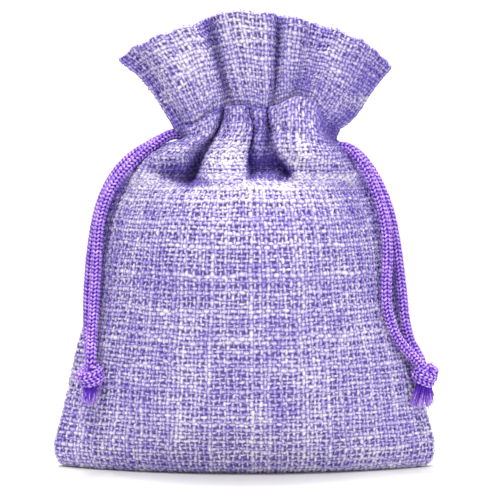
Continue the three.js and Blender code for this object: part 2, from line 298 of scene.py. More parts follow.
shape = node(braid, XYZ, {"X": thickness, "Y": width, "Z": 1.0})
flat_ring = node(braid, "GeometryNodeTransform", {"Geometry": ring, "Scale": shape})
strands = node(braid, "GeometryNodeCurveToMesh", {
    "Curve": faced, "Profile Curve": flat_ring, "Fill Caps": True})
# The core is painted darkest, as painted shade in the gaps between the strands.
inside = node(braid, MATH, {0: thickness, 1: -1.0, 2: cord_radius}, operation="MULTIPLY_ADD")
round_ring = node(braid, "GeometryNodeCurvePrimitiveCircle", {"Resolution": 8, "Radius": inside})
deep = node(braid, STORE, {"Geometry": spaced, "Name": "painted_shade", "Value": -1.0},
            data_type="FLOAT", domain="POINT")
core = node(braid, "GeometryNodeCurveToMesh", {
    "Curve": deep, "Profile Curve": round_ring, "Fill Caps": True})
whole = node(braid, "GeometryNodeJoinGeometry")
braid.links.new(strands.outputs[0], whole.inputs[0])
braid.links.new(core.outputs[0], whole.inputs[0])
end_tree(braid, whole, finish)

# Braided polyester: smooth filaments lie along each strand and give a soft shine. The colour is
# painted paler on the raised strands, a painted highlight, and deep violet where they dive under
# and on the core, painted shade. A single filament is too fine to show, so the noise draws bundles
# about 0.4 mm across.
BUNDLES = 2600.0
polyester, tree, shader = new_material("braided polyester", {
    "Roughness": 0.42, "Specular IOR Level": 0.20})
tone_in = node(tree, "ShaderNodeAttribute", attribute_name="tone").outputs["Fac"]
painted_shade_in = node(tree, "ShaderNodeAttribute", attribute_name="painted_shade").outputs["Fac"]
where = node(tree, "ShaderNodeTexCoord").outputs["Object"]
fibre = node(tree, NOISE, {"Vector": where, "Scale": BUNDLES, "Detail": 3.0}).outputs["Fac"]
blend_in = 0.18
for source, share in ((painted_shade_in, 0.34), (tone_in, 0.20), (fibre, 0.42)):
    blend_in = node(tree, MATH, {0: source, 1: share, 2: blend_in}, operation="MULTIPLY_ADD")
ramp = node(tree, "ShaderNodeValToRGB", {"Fac": blend_in})
dark, light = ramp.color_ramp.elements
dark.position, dark.color = 0.15, linear("#2a0870")
light.position, light.color = 0.95, linear("#d7b2f6")
ramp.color_ramp.elements.new(0.56).color = linear("#5c29b6")
tree.links.new(ramp.outputs["Color"], shader.inputs["Base Color"])
grain = node(tree, "ShaderNodeBump", {"Strength": 0.25, "Distance": 0.00008, "Height": fibre})
tree.links.new(grain.outputs[0], shader.inputs["Normal"])

braid_sizes = {"Cord radius": CORD / 2, "Braid pitch": 0.0056, "Strand width": 0.00041,
               "Strand thickness": 0.00036, "Material": polyester}
knot_places = {"left": (-0.0274, -0.0079, 0.0180), "right": (0.0325, -0.0036, 0.0175)}
OUT, DROP = 0.0015, 0.0002
KNOT_ENTRY_Y, KNOT_ENTRY_Z = 0.0005, 0.0006
strand_pieces = {}
for key, route in routes.items():
    word, face = key.split("_")
    hand, y = hands[word], run_y[face]
    out_x, out_z = exits[word]
    run = [(out_x - hand * PULLED_RUN * share, y, out_z) for share in (1.0, 0.5, 0.0)]
    knot_in = Vector(knot_places[word]) + Vector((0, math.copysign(KNOT_ENTRY_Y, y), KNOT_ENTRY_Z))
    stations = [*run, (out_x + hand * OUT, y, out_z - DROP), *route, tuple(knot_in)]
    line = smooth_line(stations, steps=150)
    cord = grow(f"{word}_{face}_cord", line_object("route", line), braid, braid_sizes)
    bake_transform(cord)
    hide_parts(f"{word}_{face}_run", f"{word}_{face}_strand")
    strand_pieces[key] = (cord, line)

# The part of each drawstring that stays in the casing is a loop round the neck, which turns back
# at the far side.
LOOP_GAP = 0.0003
TURN_STEPS = 6
far_turns = {"left": 0.01286, "right": -0.01058}
for word, far_x in far_turns.items():
    hand = hands[word]
    out_x, out_z = exits[word]
    near_x = out_x - hand * (PULLED_RUN + LOOP_GAP)
    mid_x = (near_x + far_x) / 2
    stations = [(near_x, -RUN_DEPTH, out_z), (mid_x, -RUN_DEPTH, out_z)]
    for step in range(TURN_STEPS + 1):
        turn = math.pi * step / TURN_STEPS
        stations.append((far_x - hand * RUN_DEPTH * math.sin(turn),
                         -RUN_DEPTH * math.cos(turn), out_z))
    stations += [(mid_x, RUN_DEPTH, out_z), (near_x, RUN_DEPTH, out_z)]
    route = line_object("route", smooth_line(stations, steps=80))
    loop = grow(f"{word}_casing_loop", route, braid, braid_sizes)
    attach(loop, "pouch")
    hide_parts(f"{word}_loop")


# Knots: both strands of a drawstring are tied together in an overhand knot drawn tight, so two
# turns of the cord show, tilted, on a small round body.
COIL_RADIUS, COIL_TAPER, COIL_HALF_HEIGHT = 0.00166, 0.00030, 0.00140
COIL_ANGLE, COIL_START, COIL_STEPS = 5 * math.pi, 0.9, 30
knot_leans = {"left": -24, "right": 20}
KNOT_NOD = 12
tied = {**braid_sizes, "Cord radius": 0.00090, "Braid pitch": 0.0052, "Strand width": 0.00038}
for word, place in knot_places.items():
    tilt = Matrix.Rotation(math.radians(knot_leans[word]), 3, "Y")
    tilt = tilt @ Matrix.Rotation(math.radians(KNOT_NOD), 3, "X")
    coil = [Vector((0.0, 0.0002, 0.0019)), Vector((0.0006, -0.0002, 0.00155))]
    for step in range(COIL_STEPS + 1):
        turn = COIL_ANGLE * step / COIL_STEPS - COIL_START
        swell = COIL_RADIUS - COIL_TAPER * abs(step / (COIL_STEPS / 2) - 1) ** 2
        height = COIL_HALF_HEIGHT - 2 * COIL_HALF_HEIGHT * step / COIL_STEPS
        coil.append(Vector((swell * math.cos(turn), swell * math.sin(turn), height)))
    coil += [Vector((0.0004, 0.0003, -0.0018)), Vector((0.0, 0.0, -0.0022))]
    line = smooth_line([tuple(tilt @ p + Vector(place)) for p in coil], steps=180)
    knot = grow(f"{word}_knot_turns", line_object("route", line), braid, tied)
    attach(knot, f"{word}_cords")
    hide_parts(f"{word}_knot")


# Tails: the two ends of each cord below its knot, cut short. The braid has come open there, so
# its polyester strands stand out as a brush of loose fibres, thinner and paler to their tips, and
# painted darker at their roots as painted shade under the knot.
GOLDEN_ANGLE = 2.39996
SHORTEST, STRAY, TIP_TAPER, FAN_POWER = 0.5, 0.00030, 0.45, 1.5
ROOT_SHADE, PALE_TIP = -0.45, 0.85
brush, (_, fibres, fibre_length, fibre_radius, root_radius, spread, place_in, turn_in, seed,
        finish) = new_tree("frayed cord end", {
    "Fibres": "Int", "Fibre length": "Float", "Fibre radius": "Float", "Root radius": "Float",
    "Spread": "Float", "Place": "Vector", "Turn": "Rotation", "Seed": "Int",
    "Material": "Material",
})
dots = node(brush, "GeometryNodePoints", {"Count": fibres, "Radius": 0.0001})
number = node(brush, "GeometryNodeInputIndex")
round_at = node(brush, MATH, {0: number, 1: GOLDEN_ANGLE}, operation="MULTIPLY")
share = node(brush, MATH, {0: number, 1: fibres}, operation="DIVIDE")
share = node(brush, MATH, {0: share}, operation="SQRT")
far = node(brush, MATH, {0: share, 1: root_radius}, operation="MULTIPLY")
cosine = node(brush, MATH, {0: round_at}, operation="COSINE")
sine = node(brush, MATH, {0: round_at}, operation="SINE")
root = node(brush, XYZ, {"X": cosine, "Y": sine})
root = node(brush, VECTOR, {0: root, "Scale": far}, operation="SCALE")
placed = node(brush, "GeometryNodeSetPosition", {"Geometry": dots, "Position": root})
long = node(brush, RANDOM, {2: SHORTEST, 3: 1.0, "Seed": seed}, data_type="FLOAT").outputs[1]
long = node(brush, MATH, {0: long, 1: fibre_length}, operation="MULTIPLY")
hair = node(brush, "GeometryNodeCurvePrimitiveLine", {"End": (0.0, 0.0, 1.0)})
hair = node(brush, "GeometryNodeResampleCurve", {"Curve": hair, "Count": 8})
stretch = node(brush, XYZ, {"X": 1.0, "Y": 1.0, "Z": long})
hairs = node(brush, "GeometryNodeInstanceOnPoints", {
    "Points": placed, "Instance": hair, "Scale": stretch})
hairs = node(brush, "GeometryNodeRealizeInstances", {"Geometry": hairs})
factor = node(brush, "GeometryNodeSplineParameter").outputs["Factor"]
own = node(brush, "GeometryNodeCurveOfPoint").outputs["Curve Index"]
fan = node(brush, MATH, {0: factor, 1: FAN_POWER}, operation="POWER")
fan = node(brush, MATH, {0: fan, 1: spread}, operation="MULTIPLY")
here = node(brush, "GeometryNodeInputPosition")
flat = node(brush, VECTOR, {0: here, 1: (1.0, 1.0, 0.0)}, operation="MULTIPLY")
wide = node(brush, VECTOR, {0: flat, "Scale": fan}, operation="SCALE")
loose = node(brush, RANDOM, {
    0: (-1.0, -1.0, -0.3), 1: (1.0, 1.0, 0.3), "ID": own, "Seed": seed},
    data_type="FLOAT_VECTOR")
stray = node(brush, MATH, {0: factor, 1: STRAY}, operation="MULTIPLY")
astray = node(brush, VECTOR, {0: loose, "Scale": stray}, operation="SCALE")
move = node(brush, VECTOR, {0: wide, 1: astray}, operation="ADD")
marked = node(brush, "GeometryNodeSetPosition", {"Geometry": hairs, "Offset": move})
thin = node(brush, MATH, {0: factor, 1: -TIP_TAPER, 2: 1.0}, operation="MULTIPLY_ADD")
thin = node(brush, MATH, {0: thin, 1: fibre_radius}, operation="MULTIPLY")
tone = node(brush, RANDOM, {"ID": own, "Seed": 9}, data_type="FLOAT").outputs[1]
# Painted shade under the knot: the fibres are darker at their roots and paler to their tips.
root_shade_to_tip = node(brush, MATH, {0: factor, 1: PALE_TIP - ROOT_SHADE, 2: ROOT_SHADE},
            operation="MULTIPLY_ADD")
for label, value in (("tone", tone), ("painted_shade", root_shade_to_tip)):
    marked = node(brush, STORE, {"Geometry": marked, "Name": label, "Value": value},
                  data_type="FLOAT", domain="POINT")
ring = node(brush, "GeometryNodeCurvePrimitiveCircle", {"Resolution": 5, "Radius": 1.0})
bristles = node(brush, "GeometryNodeCurveToMesh", {
    "Curve": marked, "Profile Curve": ring, "Scale": thin, "Fill Caps": True})
set_down = node(brush, "GeometryNodeTransform", {
    "Geometry": bristles, "Translation": place_in, "Rotation": turn_in})
end_tree(brush, set_down, finish)

BELOW_KNOT = 0.0019
tail_lengths, tail_spreads = {"left": 0.0034, "right": 0.0043}, {"left": 0.10, "right": 0.30}
tail_leans = {
    "left_front": (-0.10, -0.24), "left_back": (0.08, 0.0),
    "right_front": (-0.30, -0.24), "right_back": (0.16, 0.0),
}
tail_seeds = {"front": 3, "back": 11}
tail_pieces = {"left": [], "right": []}
for key, lean in tail_leans.items():
    word, face = key.split("_")
    aim = Vector((*lean, -1)).normalized()
    spot = Vector(knot_places[word]) + BELOW_KNOT * aim
    carrier = mesh_object("carrier", [(0, 0, 0)], [], polyester)
    tail = grow(f"{word}_{face}_frayed_end", carrier, brush, {
        "Fibres": 42, "Fibre length": tail_lengths[word], "Fibre radius": 0.00019,
        "Root radius": 0.00095, "Spread": tail_spreads[word], "Place": tuple(spot),
        "Turn": Vector((0, 0, 1)).rotation_difference(aim).to_euler(),
        "Seed": tail_seeds[face], "Material": polyester})
    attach(tail, f"{word}_cords")
    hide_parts(f"{word}_{face}_tail")
    tail_pieces[word].append(tail)

# With its knot and tails made, each strand's side, face, exit and depth are looked up once more.
for key, (cord, line) in strand_pieces.items():
    word, face = key.split("_")
    out_x, out_z = exits[word]
    y = run_y[face]


# Cloth: front and back are each one strip of slubby linen-look cloth, sewn together at the sides
# and bottom, gathered by the cords at the casing, and folded over at the top edge as a frill.
# Sizes here are in millimetres, and places across the cloth go from -1 to 1.
# The pouch's width, depth and height at each level, then what varies across the cloth: folds that
# are 0 in a valley and 1 on a ridge, the heights of pockets and edge, and the lift of the crease.
PROFILE = [
    (63.0, 0.0, 0.0), (64.6, 11.0, 0.0), (68.4, 16.0, 1.1), (69.6, 20.0, 4.0), (66.4, 25.6, 10.5),
    (61.4, 30.6, 21.6), (56.5, 33.0, 30.0), (53.5, 32.4, 39.8), (48.4, 28.6, 48.9),
    (36.0, 22.0, 56.0), (29.6, 18.6, 59.7), (27.8, 17.6, 62.2), (31.6, 14.0, 65.4),
]
LOW_FOLDS = np.array([
    (-1, 0.1), (-0.84, 0.6), (-0.62, 0.45), (-0.43, 0), (-0.32, 0.75), (-0.17, 1), (-0.03, 0.8),
    (0.04, 0.05), (0.13, 0.12), (0.38, 0), (0.50, 0.75), (0.66, 1), (0.84, 0.75), (1, 0.2),
])
MID_FOLDS = np.array([
    (-1, 0), (-0.84, 0.7), (-0.7, 0.8), (-0.52, 0), (-0.42, 0.7), (-0.28, 1), (-0.14, 0.7),
    (-0.08, 0), (0.03, 0.42), (0.17, 0), (0.28, 0.75), (0.46, 1), (0.7, 0.8), (1, 0),
])
TOP_FOLDS = np.array([
    (-1, 0), (-0.82, 0.75), (-0.56, 0.95), (-0.38, 0), (-0.31, 0.6), (-0.24, 1), (-0.18, 0.6),
    (-0.11, 0), (0.01, 0.75), (0.12, 0), (0.19, 0.7), (0.34, 1), (0.6, 0.75), (1, 0),
])
POCKET_FEET = [
    (-1, 50), (-0.42, 51.0), (-0.18, 51), (0.0, 51.4), (0.22, 51.2), (0.42, 51.8), (0.66, 50.5),
    (1, 49),
]
FRILL_FOLDS = [
    (-1, 0.1), (-0.7, 1), (-0.5, 0.9), (-0.35, 0), (-0.22, 0.75), (-0.08, 0.9), (0.07, 0.7),
    (0.17, 0.10), (0.29, 0.7), (0.42, 0.3), (0.72, 1), (1, 0.1),
]
CREASE = [
    (-1, -4.0), (-0.82, -3.2), (-0.36, 0), (-0.1, 0.2), (0.05, -0.5), (0.17, 0), (0.45, 1.8),
    (0.6, 1.2), (0.85, -2.2), (1, -3.4),
]
TOP_EDGE = [
    (-1, 73.9), (-0.83, 76.0), (-0.66, 77.9), (-0.49, 79.4), (-0.32, 81.0), (-0.15, 82.0),
    (0.04, 81.6), (0.22, 81.1), (0.395, 80.1), (0.56, 79.0), (0.74, 77.0), (0.83, 75.4),
    (0.92, 73.9), (1, 72.5),
]
# Hollows pressed into the front beside the gathers: place across and up, half sizes, slope, depth.
HOLLOWS = [
    (-11.6, 53.2, 5.2, 1.8, -0.28, 3.6), (-8.4, 57.6, 1.9, 3.4, -0.30, 1.6),
    (9.5, 60.2, 4.2, 0.7, -0.30, 0.9),
]
# Heights that the gathers go by, and pairs of depths or half widths at the foot and top of a part.
PLEAT_FOOT, CASING_MIDDLE, CASING_TOP, FRILL_FOOT = 54.5, 60.7, 65.4, 65.2
RIDGES, VALLEYS, FRILL_RIDGES, FRILL_VALLEY = (11.4, 7.8), (1.8, 3.5), (4.5, 9.8), 3.1
FRILL_LEFT, FRILL_RIGHT, FRILL_TOP = 14.5, 14.0, 24.3
NECK_X, TOP_X = 2.4, 1.9
SEAM, INSET, PROUD, FOOT_CLEAR, HEM_RADIUS = 0.12, 0.40, 0.15, 0.50, 0.45
BODY_ROWS, FRILL_ROWS, FACING_ROWS, COLUMNS = 124, 34, 28, 161
across_row = np.linspace(-1, 1, COLUMNS)
t = np.linspace(-1, 1, 801)  # the finer places that a row is first drawn with


def table_at(table, places):
    x, y = np.array(table, float).T
    i = np.clip(np.searchsorted(x, places, side="right") - 1, 0, len(x) - 2)
    w = np.clip((places - x[i]) / (x[i + 1] - x[i]), 0, 1)
    return y[i] + (y[i + 1] - y[i]) * (1 - np.cos(np.pi * w)) / 2


def ease(v, low, high):
    w = np.clip((v - low) / (high - low), 0, 1)
    return w * w * (3 - 2 * w)


def mix(a, b, w):
    return a + (b - a) * w


def bell(z, middle, spread):
    return math.exp(-((z - middle) / spread) ** 2)


def body_row(side, half, depth, z):
    """One row across a panel: crowned over the filling, then gathered into pleats at the neck."""
    place = -side * t
    low = table_at(LOW_FOLDS, place)
    # The folds shift sideways on their way up through the casing.
    folds = mix(LOW_FOLDS, MID_FOLDS, ease(z, 54, CASING_MIDDLE))
    fold = table_at(mix(folds, TOP_FOLDS, ease(z, CASING_MIDDLE, FRILL_FOOT)), place)
    # A pocket opens at once above its foot, and a ridge comes out of the crown slowly.
    foot = table_at(POCKET_FEET, place)
    gather = ease(z, foot, foot + mix(2.4, 9.0, low))
    crown = SEAM + (depth + PROUD - INSET - SEAM) * (1 - t * t) ** 0.9
    soft = 0.75 * ease(z, 30, 52) * (low - 0.45) * (1 - t * t)
    ridge = mix(*RIDGES, ease(z, PLEAT_FOOT, CASING_TOP)) - INSET
    valley = mix(*VALLEYS, ease(z, 55, 57.4))
    pleat = SEAM + mix(valley, ridge, fold) * (1 - np.abs(t) ** 14)
    lean = NECK_X * ease(z, PLEAT_FOOT, 61.5)
    lift = table_at(CREASE, t) * ease(z, 57, CASING_TOP)
    # Ridges swell over the pockets beside them, and each shoulder has a slope of its own.
    bulge = -0.085 * np.clip(np.gradient(fold, t), -12, 12) * fold * gather
    left, right = ease(-t, 0.4, 1), ease(t, 0.4, 1)
    shoulder = bell(z, 56.5, 4.0) * (1.4 * right - 1.7 * left) - bell(z, 60.5, 1.5) * 1.3 * left
    shoulder += bell(z, FRILL_FOOT, 1.6) * (0.7 * left - 0.9 * right)
    x, y = lean + half * t + bulge + shoulder, mix(crown + soft, pleat, gather)
    for at_x, at_z, wide, tall, slope, deep in HOLLOWS if side < 0 else []:
        over = ((x - at_x) / wide) ** 2 + ((z - at_z - slope * (x - at_x)) / tall) ** 2
        y = y - np.minimum(deep, 0.6 * y) * np.exp(-over)
    return np.c_[x, side * y, max(z, FOOT_CLEAR) + lift]


def frill_row(side, up, inward=0.0, above=0.0):
    """One row across a frill, which fans out in folds from the crease (up 0) to its edge (up 1)."""
    fold = table_at(FRILL_FOLDS, -side * t) ** 0.9
    ridge = mix(*FRILL_RIDGES, up ** 0.50)
    foot = np.where(t < 0, FRILL_LEFT, FRILL_RIGHT)
    half = mix(foot, FRILL_TOP, up ** np.where(t < 0, 1.22, 0.72))
    z = mix(FRILL_FOOT, table_at(TOP_EDGE, t), up) + table_at(CREASE, t) * (1 - ease(up, 0, 0.8))
    depth = mix(FRILL_VALLEY, ridge, fold) - inward
    bulge = -0.11 * np.gradient(fold, t) * fold * ease(up, 0, 0.3)
    return np.c_[mix(NECK_X, TOP_X, up) + half * t + bulge, side * depth, z + above]


def profile_lines():
    return smooth_line([(w / 2, d / 2, z) for w, d, z in PROFILE], steps=900).T


def cloth_grid(side):
    """Rows of points from the bottom seam up to the top edge and down the facing inside."""
    half, depth, height = profile_lines()
    run = np.r_[0, np.cumsum(np.hypot(np.diff(depth), np.diff(height)))]
    rows = []
    for place in np.linspace(0, run[-1], BODY_ROWS):
        rows.append(body_row(side, *(np.interp(place, run, v) for v in (half, depth, height))))
    top, base = rows[-1], frill_row(side, 0.0)
    for w in (0.12, 0.26, 0.42, 0.58, 0.74, 0.88):
        puff = 0.4 * math.sin(math.pi * w) * (1 - 1.6 * w)
        rows.append(mix(top, base, w) + np.array((0, 0, puff)))
    rows += [frill_row(side, up) for up in np.linspace(0, 1, FRILL_ROWS)]
    for turn in (0.5, 1.1, 1.7, 2.3, 2.8):
        rows.append(frill_row(side, 1.0, HEM_RADIUS * (1 - math.cos(turn)),
                              HEM_RADIUS * math.sin(turn)))
    rows += [frill_row(side, up, 2 * HEM_RADIUS) for up in np.linspace(1, 0, FACING_ROWS)]
    grid = []
    for row in rows:
        length = np.r_[0, np.cumsum(np.linalg.norm(np.diff(row, axis=0), axis=1))]
        at = np.linspace(0, length[-1], COLUMNS)
        grid.append(np.c_[[np.interp(at, length, row[:, k]) for k in range(3)]].T)
    return np.array(grid)


def lumps(grid, side, outward):
    """The soft unevenness of cloth over loose flowers, in lumps 9 and 4 mm wide, none at seams."""
    wide, small = Vector((0, 40 * side, 0)), Vector((9, 40 * side, 3))
    moved = np.array([
        noise.noise(Vector(p) / 9.0 + wide) * 0.30 + noise.noise(Vector(p) / 4.0 + small) * 0.10
        for p in grid.reshape(-1, 3)]).reshape(grid.shape[:2])
    moved *= ease(grid[..., 2], 0.4, 6) * (1 - np.abs(across_row) ** 6)[None, :]
    return grid + outward * moved[..., None]


def facing_out(grid, side):
    out = np.cross(np.gradient(grid, axis=1), np.gradient(grid, axis=0)) * -side
    return out / np.maximum(1e-9, np.linalg.norm(out, axis=2, keepdims=True))


def painted_fold_shade(grid):
    """Painted shade and highlight of the folds: paler on the ridges that stand out, darker in the
    pockets, on the sides and on the right.
    """
    from_middle = grid[..., 0] - NECK_X
    place = from_middle / np.maximum(1, np.abs(from_middle).max(1, keepdims=True))
    height, depth = grid[..., 2], np.abs(grid[..., 1])
    rows, columns = depth.shape
    wide = np.pad(depth, ((9, 9), (14, 14)), mode="edge")
    around = np.mean([wide[r:r + rows, c:c + columns]
                      for r in range(0, 19, 3) for c in range(0, 29, 4)], axis=0)
    # Above the belly, what lies deeper than the cloth around it is painted darker, as painted
    # shade.
    foot = ease(height, 48, 51) * (1 - ease(height, 55, 58))
    foot = foot * np.clip((depth - around) / 1.6, -0.8, 0.25)
    # The sides and the right shoulder, which turn away from the light, are painted darker as
    # painted shade, and the base is painted a little paler, painted light on the lower body.
    edge = ease(np.abs(across_row), 0.80, 0.97) * ease(height, 24, 32) * (1 - ease(height, 58, 62))
    base = 0.09 * (1 - ease(height, 12, 30))
    turned = ease(grid[..., 0], 5, 13) * ease(height, 42, 47) * (1 - ease(height, 61, 64))
    # Ridges of the neck and the fan are painted paler the further out they stand, and their valleys
    # darker, as painted highlight and shade; the fan is also painted darker towards its sides, the
    # right one more.
    neck = ease(height, 53.5, 57) * (1 - ease(height, 64.5, 67)) * (depth - 7.5) / 6.0
    fan = (depth - 6.6) / 9.0 - np.where(place > 0, 0.45, 0.15) * np.abs(place)
    frill = ease(height, 66, 70) * fan
    return np.clip(base + foot - 0.5 * edge - 0.16 * turned + neck + frill, -0.8, 0.7)


def sheet_object(name, grid, outward, side, material):
    """The cloth as one mesh, with its flat map, and with what the yarns read from it."""
    rows, columns = grid.shape[:2]
    number = np.arange(rows * columns).reshape(rows, columns)
    corners = (number[:-1, :-1], number[:-1, 1:], number[1:, 1:], number[1:, :-1])
    quads = np.stack(corners, -1).reshape(-1, 4)
    quads = quads if side < 0 else quads[:, ::-1]
    made = mesh_object(name, grid.reshape(-1, 3) * 0.001, quads.tolist(), material)
    across = np.tile(np.linspace(0, 1, columns), rows)
    run = np.r_[0, np.cumsum(np.linalg.norm(np.diff(grid, axis=0), axis=2).mean(1))]
    upward = np.repeat(run / run[-1], columns)
    layer = made.data.uv_layers.new(name="OFBake")
    layer.data.foreach_set("uv", np.c_[across, upward][quads.ravel()].ravel())
    facing = made.data.attributes.new("outward", "FLOAT_VECTOR", "POINT")
    facing.data.foreach_set("vector", outward.reshape(-1, 3).ravel())
    # The painted shade and highlight of the folds, read by the yarns and the fuzz.
    fold_shade = made.data.attributes.new("painted_fold_shade", "FLOAT", "POINT")
    fold_shade.data.foreach_set("value", painted_fold_shade(grid).ravel())
    return made, run


# The yarns of a plain weave: each goes over and under the yarns that cross it, thick in places.
# Lengths along and across the cloth are counted in yarns here, which lie 0.8 mm apart, so a yarn
# sways and swells about every 5 mm, and its dye changes about every 2 mm.
SWAY, SWAY_SCALE, BEATEN = 1.6, 0.17, 0.19
SLUB_SCALE, STOUT = 0.16, 0.30
TONE_SCALE, DYE, FOLD_SHADE_SHARE, CHANCE = 0.38, 0.13, 0.47, 0.13
YARN_STEP, SEED_STEP = 5.37, 31.7
EDGE = {"Min": 0.0005, "Max": 0.9995}
weave, (cloth, yarns, first_yarn, all_yarns, crossings, first_crossing, all_crossings, upright,
        width, thickness, crimp, slubby, seed, finish) = new_tree("plain weave yarns", {
    "Yarns": "Int", "First yarn": "Int", "All yarns": "Int", "Crossings": "Int",
    "First crossing": "Int", "All crossings": "Int", "Upright": "Bool", "Yarn width": "Float",
    "Yarn thickness": "Float", "Crimp": "Float", "Slub": "Float", "Seed": "Int",
    "Material": "Material",
})
dots = node(weave, "GeometryNodePoints", {"Count": yarns, "Radius": 0.0001})
count = node(weave, MATH, {0: crossings, 1: 2.0, 2: 1.0}, operation="MULTIPLY_ADD")
strip = node(weave, "GeometryNodeCurvePrimitiveLine", {"End": (1.0, 0.0, 0.0)})
strip = node(weave, "GeometryNodeResampleCurve", {"Curve": strip, "Count": count})
laid = node(weave, "GeometryNodeInstanceOnPoints", {"Points": dots, "Instance": strip})
laid = node(weave, "GeometryNodeRealizeInstances", {"Geometry": laid})
number = node(weave, "GeometryNodeCurveOfPoint").outputs["Curve Index"]
factor = node(weave, "GeometryNodeSplineParameter").outputs["Factor"]
yarn = node(weave, MATH, {0: number, 1: first_yarn}, operation="ADD")
cross = node(weave, MATH, {0: factor, 1: crossings, 2: first_crossing}, operation="MULTIPLY_ADD")
seed_at = node(weave, MATH, {0: seed, 1: SEED_STEP}, operation="MULTIPLY")
own = node(weave, MATH, {0: yarn, 1: YARN_STEP, 2: seed_at}, operation="MULTIPLY_ADD")
slow = node(weave, XYZ, {"X": own, "Y": cross, "Z": seed_at})
# Where the yarn lies on the flat cloth: at its number, swaying, and beaten up unevenly.
sway = node(weave, NOISE, {"Vector": slow, "Scale": SWAY_SCALE, "Detail": 1.0}).outputs["Fac"]
sway = node(weave, MATH, {0: sway, 1: SWAY, 2: 0.5 - SWAY / 2}, operation="MULTIPLY_ADD")
beaten = node(weave, RANDOM, {2: -BEATEN, 3: BEATEN, "ID": yarn, "Seed": 41}).outputs[1]
across = yarn
for operation, value in (("ADD", sway), ("ADD", beaten), ("DIVIDE", all_yarns)):
    across = node(weave, MATH, {0: across, 1: value}, operation=operation)
across = node(weave, "ShaderNodeClamp", {"Value": across, **EDGE})
upward = node(weave, MATH, {0: cross, 1: all_crossings}, operation="DIVIDE")
upward = node(weave, "ShaderNodeClamp", {"Value": upward, **EDGE})
as_warp = node(weave, XYZ, {"X": across, "Y": upward})
as_weft = node(weave, XYZ, {"X": upward, "Y": across})
spot = node(weave, "GeometryNodeSwitch", {"Switch": upright, "False": as_weft, "True": as_warp},
            input_type="VECTOR")
flat_map = node(weave, STORED, {"Name": "OFBake"}, data_type="FLOAT_VECTOR")
out_map = node(weave, STORED, {"Name": "outward"}, data_type="FLOAT_VECTOR")
fold_shade_map = node(weave, STORED, {"Name": "painted_fold_shade"}, data_type="FLOAT")
here = node(weave, "GeometryNodeInputPosition")
on_cloth, off_cloth, fold_shade = (
    node(weave, "GeometryNodeSampleUVSurface", {
        "Mesh": cloth, "Value": value, "UV Map": flat_map, "Sample UV": spot},
        data_type=kind)
    for value, kind in ((here, "FLOAT_VECTOR"), (out_map, "FLOAT_VECTOR"), (fold_shade_map, "FLOAT")))
# Over one yarn and under the next, a warp where a weft goes under.
phase = cross
for operation, value in (
    ("SUBTRACT", yarn), ("ADD", -0.5), ("ADD", upright), ("MULTIPLY", math.pi),
):
    phase = node(weave, MATH, {0: phase, 1: value}, operation=operation)
wave = node(weave, MATH, {0: phase}, operation="COSINE")
rise_by = node(weave, MATH, {0: wave, 1: crimp}, operation="MULTIPLY")
lift = node(weave, VECTOR, {0: off_cloth, "Scale": rise_by}, operation="SCALE")
goes_to = node(weave, VECTOR, {0: on_cloth, 1: lift}, operation="ADD")
# Slubs, and yarns that are stouter than others.
thick = node(weave, NOISE, {"Vector": slow, "Scale": SLUB_SCALE, "Detail": 2.0}).outputs["Fac"]
thick = node(weave, MATH, {0: thick, 1: -0.5}, operation="ADD")
stout = node(weave, RANDOM, {2: -STOUT, 3: STOUT, "ID": yarn, "Seed": seed}).outputs[1]
thick = node(weave, MATH, {0: thick, 1: slubby, 2: stout}, operation="MULTIPLY_ADD")
thick = node(weave, MATH, {0: thick, 1: 1.0}, operation="ADD")
# How pale: along the yarn, from yarn to yarn, with the painted shade and highlight of the folds,
# and from one float to the next.
pale_at = node(weave, NOISE, {"Vector": slow, "Scale": TONE_SCALE, "Detail": 3.0}).outputs["Fac"]
dye = node(weave, RANDOM, {2: -DYE, 3: DYE, "ID": yarn, "Seed": 77}).outputs[1]
pale_at = node(weave, MATH, {0: pale_at, 1: dye}, operation="ADD")
float_at = node(weave, MATH, {0: phase, 1: 0.5 / math.pi, 2: 0.5}, operation="MULTIPLY_ADD")
float_at = node(weave, MATH, {0: float_at}, operation="FLOOR")
float_at = node(weave, XYZ, {"X": own, "Y": float_at, "Z": seed_at})
chance = node(weave, "ShaderNodeTexWhiteNoise", {"Vector": float_at}).outputs["Value"]
chance = node(weave, MATH, {0: chance, 1: -0.5}, operation="ADD")
for source, share in ((fold_shade, FOLD_SHADE_SHARE), (chance, CHANCE)):
    pale_at = node(weave, MATH, {0: source, 1: share, 2: pale_at}, operation="MULTIPLY_ADD")
marked = laid
# The crimp wave is kept as painted shade: a yarn is painted darker where it dives under and paler
# where it rides over.
for label, value, kind in (
    ("tone", pale_at, "FLOAT"), ("painted_shade", wave, "FLOAT"), ("stout", thick, "FLOAT"),
    ("yarn", number, "FLOAT"), ("along", factor, "FLOAT"), ("radial", off_cloth, "FLOAT_VECTOR"),
):
    marked = node(weave, STORE, {"Geometry": marked, "Name": label, "Value": value},
                  data_type=kind, domain="POINT")
woven = node(weave, "GeometryNodeSetPosition", {"Geometry": marked, "Position": goes_to})
outward = node(weave, STORED, {"Name": "radial"}, data_type="FLOAT_VECTOR")
faced = node(weave, "GeometryNodeSetCurveNormal", {"Curve": woven, "Normal": outward}, mode="FREE")
ring = node(weave, "GeometryNodeCurvePrimitiveCircle", {"Resolution": 6, "Radius": 0.5})
corner = node(weave, "GeometryNodeInputPosition")
ring = node(weave, STORE, {"Geometry": ring, "Name": "corner", "Value": corner},
            data_type="FLOAT_VECTOR", domain="POINT")
shape = node(weave, XYZ, {"X": thickness, "Y": width, "Z": 1.0})
flat_ring = node(weave, "GeometryNodeTransform", {"Geometry": ring, "Scale": shape})
stout_at = node(weave, STORED, {"Name": "stout"}, data_type="FLOAT")
spun = node(weave, "GeometryNodeCurveToMesh", {
    "Curve": faced, "Profile Curve": flat_ring, "Scale": stout_at, "Fill Caps": True})
